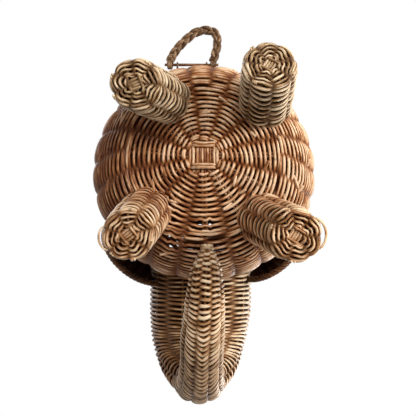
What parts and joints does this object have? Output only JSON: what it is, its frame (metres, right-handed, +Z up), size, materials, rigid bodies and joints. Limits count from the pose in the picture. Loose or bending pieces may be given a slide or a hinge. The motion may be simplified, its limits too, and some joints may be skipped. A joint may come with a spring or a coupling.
{
  "type": "animal-shaped basket",
  "caption": "Open woven cane basket in the shape of a standing elephant, with woven legs, curled trunk, ears and a plaited tail loop that swings on a cane rod.",
  "frame": {"origin": "on the floor under the middle of the whole basket", "axes": "+Z up, the head points along -Y, the animal's left side is +X"},
  "size_m": [0.2762, 0.4924, 0.2813],
  "materials": {
    "body_cane": "satin",
    "leg_cane": "satin",
    "head_cane": "satin",
    "dark_cane": "satin",
    "tail_cane": "satin"
  },
  "bodies": {
    "basket": {"body_stakes": "body_cane", "base_weave": "body_cane", "wall_weave": "body_cane", "rim_border": "body_cane", "head_weave": "head_cane", "trunk_weave": "head_cane", "head_stakes": "head_cane", "trunk_tip": "leg_cane", "leg_front_left_weave": "leg_cane", "leg_front_left_sole": "leg_cane", "leg_front_left_stakes": "leg_cane", "leg_front_right_weave": "leg_cane", "leg_front_right_sole": "leg_cane", "leg_front_right_stakes": "leg_cane", "leg_rear_left_weave": "leg_cane", "leg_rear_left_sole": "leg_cane", "leg_rear_left_stakes": "leg_cane", "leg_rear_right_weave": "leg_cane", "leg_rear_right_sole": "leg_cane", "leg_rear_right_stakes": "leg_cane", "ear_left_weave": "dark_cane", "ear_left_hoop": "dark_cane", "ear_right_weave": "dark_cane", "ear_right_hoop": "dark_cane", "tail_rod": "dark_cane", "tail_tie_left": "dark_cane", "tail_tie_right": "dark_cane"},
    "tail": {"tail_loop": "tail_cane"}
  },
  "joints": [
    {"name": "tail_swing", "type": "hinge", "parent": "basket", "child": "tail", "pos_m": [0.017, 0.1941, 0.2], "axis": [1, 0, 0], "range_deg": [-80, 80]}
  ]
}
